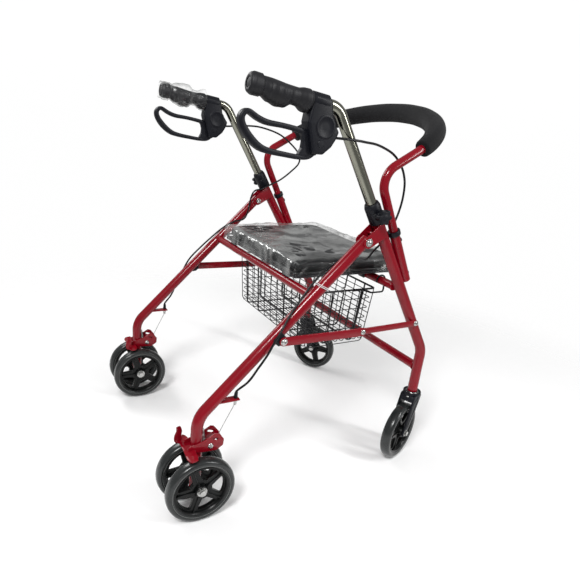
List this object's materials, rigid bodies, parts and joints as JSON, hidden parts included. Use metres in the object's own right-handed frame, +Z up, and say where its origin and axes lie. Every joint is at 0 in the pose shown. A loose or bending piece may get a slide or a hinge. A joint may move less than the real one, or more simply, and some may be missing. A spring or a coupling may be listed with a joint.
{
  "type": "rollator walker",
  "caption": "Folding rollator walker with adjustable handles, loop brake levers, padded backrest bar, flip-up seat, wire basket, swivel casters and braked rear wheels.",
  "frame": {"origin": "on the floor under the centre of the bounding box", "axes": "+Z up, +Y the direction of travel, +X to the user's right"},
  "size_m": [0.6442, 0.7421, 0.8838],
  "materials": {
    "red_paint": "gloss",
    "chrome": "polished",
    "zinc_steel": "satin",
    "black_plastic": "satin",
    "grip_rubber": "matte",
    "black_wire": "semi-gloss",
    "tyre_polyurethane": "satin",
    "foam": "matte",
    "seat_vinyl": "satin",
    "cable_jacket": "satin"
  },
  "bodies": {
    "front_frame": {"front_leg_r": "red_paint", "hinge_bracket_r": "red_paint", "hinge_bolt_r": "zinc_steel", "backrest_socket_r": "red_paint", "height_collar_r": "black_plastic", "front_leg_l": "red_paint", "hinge_bracket_l": "red_paint", "hinge_bolt_l": "zinc_steel", "backrest_socket_l": "red_paint", "height_collar_l": "black_plastic", "front_cross_tube": "red_paint", "lower_cross_tube": "red_paint"},
    "rear_frame": {"rear_leg_r": "red_paint", "link_bracket_r": "black_plastic", "rear_axle_r": "zinc_steel", "lower_cable_r": "cable_jacket", "rear_leg_l": "red_paint", "link_bracket_l": "black_plastic", "rear_axle_l": "zinc_steel", "lower_cable_l": "cable_jacket", "rear_cross_tube": "red_paint"},
    "seat": {"seat_board": "black_plastic", "seat_cushion": "seat_vinyl"},
    "basket": {"basket": "black_wire"},
    "backrest": {"backrest_tube": "red_paint", "backrest_pad": "foam"},
    "handle_r": {"handle_tube_r": "chrome", "grip_r": "grip_rubber", "brake_housing_r": "black_plastic", "upper_cable_r": "cable_jacket"},
    "lever_r": {"brake_lever_r": "black_plastic"},
    "knob_r": {"clamp_knob_r": "black_plastic"},
    "button_r": {"snap_button_r": "zinc_steel"},
    "front_bar_r": {"front_link_r": "red_paint"},
    "rear_bar_r": {"rear_link_r": "red_paint"},
    "brake_r": {"brake_arm_r": "red_paint"},
    "rear_wheel_outer_r": {"rear_hub_outer_r": "black_plastic", "rear_tyre_outer_r": "tyre_polyurethane"},
    "rear_wheel_inner_r": {"rear_hub_inner_r": "black_plastic", "rear_tyre_inner_r": "tyre_polyurethane"},
    "caster_r": {"caster_fork_r": "black_plastic"},
    "caster_wheel_r": {"caster_hub_r": "black_plastic", "caster_tyre_r": "tyre_polyurethane"},
    "handle_l": {"handle_tube_l": "chrome", "grip_l": "grip_rubber", "brake_housing_l": "black_plastic", "upper_cable_l": "cable_jacket"},
    "lever_l": {"brake_lever_l": "black_plastic"},
    "knob_l": {"clamp_knob_l": "black_plastic"},
    "button_l": {"snap_button_l": "zinc_steel"},
    "front_bar_l": {"front_link_l": "red_paint"},
    "rear_bar_l": {"rear_link_l": "red_paint"},
    "brake_l": {"brake_arm_l": "red_paint"},
    "rear_wheel_outer_l": {"rear_hub_outer_l": "black_plastic", "rear_tyre_outer_l": "tyre_polyurethane"},
    "rear_wheel_inner_l": {"rear_hub_inner_l": "black_plastic", "rear_tyre_inner_l": "tyre_polyurethane"},
    "caster_l": {"caster_fork_l": "black_plastic"},
    "caster_wheel_l": {"caster_hub_l": "black_plastic", "caster_tyre_l": "tyre_polyurethane"}
  },
  "joints": [
    {"name": "frame_fold", "type": "hinge", "parent": "front_frame", "child": "rear_frame", "pos_m": [0, 0.0655, 0.587], "axis": [1, 0, 0], "range_deg": [0, 42], "deforming": ["lower_cable_r", "lower_cable_l"]},
    {"name": "seat_flip", "type": "hinge", "parent": "front_frame", "child": "seat", "pos_m": [0, 0.18, 0.4745], "axis": [-1, 0, 0], "range_deg": [0, 75]},
    {"name": "basket_swing", "type": "hinge", "parent": "front_frame", "child": "basket", "pos_m": [0, 0.18, 0.4745], "axis": [1, 0, 0], "range_deg": [0, 21]},
    {"name": "backrest_slide", "type": "slide", "parent": "front_frame", "child": "backrest", "axis": [0, -0.4695, 0.883], "range_m": [0, 0.07]},
    {"name": "handle_height_r", "type": "slide", "parent": "front_frame", "child": "handle_r", "axis": [0, -0.5373, 0.8434], "range_m": [-0.1, 0.025], "deforming": ["upper_cable_r"]},
    {"name": "lever_park_r", "type": "hinge", "parent": "handle_r", "child": "lever_r", "pos_m": [0.2691, -0.083, 0.775], "axis": [1, 0, 0], "range_deg": [0, 18]},
    {"name": "brake_press_r", "type": "hinge", "parent": "rear_frame", "child": "brake_r", "pos_m": [0.2691, -0.27, 0.1634], "axis": [1, 0, 0], "range_deg": [0, 7.5]},
    {"name": "knob_turn_r", "type": "hinge", "parent": "front_frame", "child": "knob_r", "pos_m": [0.2691, 0.08149, 0.643], "axis": [1, 0, 0], "continuous": true},
    {"name": "button_press_r", "type": "slide", "parent": "front_frame", "child": "button_r", "axis": [0, 0.883, 0.4695], "range_m": [-0.003, 0], "stiffness_N_per_m": 300},
    {"name": "front_bar_pivot_r", "type": "hinge", "parent": "front_frame", "child": "front_bar_r", "pos_m": [0.2691, 0.2466, 0.3838], "axis": [1, 0, 0], "range_deg": [-48.8, 0]},
    {"name": "rear_bar_pivot_r", "type": "hinge", "parent": "rear_frame", "child": "rear_bar_r", "pos_m": [0.2691, -0.119, 0.3838], "axis": [1, 0, 0], "range_deg": [0, 27.4]},
    {"name": "rear_wheel_spin_outer_r", "type": "hinge", "parent": "rear_frame", "child": "rear_wheel_outer_r", "pos_m": [0.3041, -0.296, 0.0757], "axis": [1, 0, 0], "continuous": true},
    {"name": "rear_wheel_spin_inner_r", "type": "hinge", "parent": "rear_frame", "child": "rear_wheel_inner_r", "pos_m": [0.2341, -0.296, 0.0757], "axis": [1, 0, 0], "continuous": true},
    {"name": "caster_swivel_r", "type": "hinge", "parent": "front_frame", "child": "caster_r", "pos_m": [0.2691, 0.3, 0.182], "axis": [0, 0, 1], "continuous": true},
    {"name": "caster_spin_r", "type": "hinge", "parent": "caster_r", "child": "caster_wheel_r", "pos_m": [0.28344, 0.26341, 0.0757], "axis": [0.9311, 0.3649, 0], "continuous": true},
    {"name": "handle_height_l", "type": "slide", "parent": "front_frame", "child": "handle_l", "axis": [0, -0.5373, 0.8434], "range_m": [-0.1, 0.025], "deforming": ["upper_cable_l"]},
    {"name": "lever_park_l", "type": "hinge", "parent": "handle_l", "child": "lever_l", "pos_m": [-0.2691, -0.083, 0.775], "axis": [1, 0, 0], "range_deg": [0, 18]},
    {"name": "brake_press_l", "type": "hinge", "parent": "rear_frame", "child": "brake_l", "pos_m": [-0.2691, -0.27, 0.1634], "axis": [1, 0, 0], "range_deg": [0, 7.5]},
    {"name": "knob_turn_l", "type": "hinge", "parent": "front_frame", "child": "knob_l", "pos_m": [-0.2691, 0.08149, 0.643], "axis": [1, 0, 0], "continuous": true},
    {"name": "button_press_l", "type": "slide", "parent": "front_frame", "child": "button_l", "axis": [0, 0.883, 0.4695], "range_m": [-0.003, 0], "stiffness_N_per_m": 300},
    {"name": "front_bar_pivot_l", "type": "hinge", "parent": "front_frame", "child": "front_bar_l", "pos_m": [-0.2691, 0.2466, 0.3838], "axis": [1, 0, 0], "range_deg": [-48.8, 0]},
    {"name": "rear_bar_pivot_l", "type": "hinge", "parent": "rear_frame", "child": "rear_bar_l", "pos_m": [-0.2691, -0.119, 0.3838], "axis": [1, 0, 0], "range_deg": [0, 27.4]},
    {"name": "rear_wheel_spin_outer_l", "type": "hinge", "parent": "rear_frame", "child": "rear_wheel_outer_l", "pos_m": [-0.3041, -0.296, 0.0757], "axis": [1, 0, 0], "continuous": true},
    {"name": "rear_wheel_spin_inner_l", "type": "hinge", "parent": "rear_frame", "child": "rear_wheel_inner_l", "pos_m": [-0.2341, -0.296, 0.0757], "axis": [1, 0, 0], "continuous": true},
    {"name": "caster_swivel_l", "type": "hinge", "parent": "front_frame", "child": "caster_l", "pos_m": [-0.2691, 0.3, 0.182], "axis": [0, 0, 1], "continuous": true},
    {"name": "caster_spin_l", "type": "hinge", "parent": "caster_l", "child": "caster_wheel_l", "pos_m": [-0.23618, 0.32146, 0.0757], "axis": [-0.5461, 0.8377, 0], "continuous": true}
  ],
  "couplings": [
    {"joint": "basket_swing", "follows": "frame_fold", "ratio": 0.5},
    {"joint": "brake_press_r", "follows": "lever_park_r", "ratio": 0.41667},
    {"joint": "front_bar_pivot_r", "follows": "frame_fold", "ratio": -1.1595},
    {"joint": "rear_bar_pivot_r", "follows": "frame_fold", "ratio": 0.65},
    {"joint": "brake_press_l", "follows": "lever_park_l", "ratio": 0.41667},
    {"joint": "front_bar_pivot_l", "follows": "frame_fold", "ratio": -1.1595},
    {"joint": "rear_bar_pivot_l", "follows": "frame_fold", "ratio": 0.65}
  ]
}
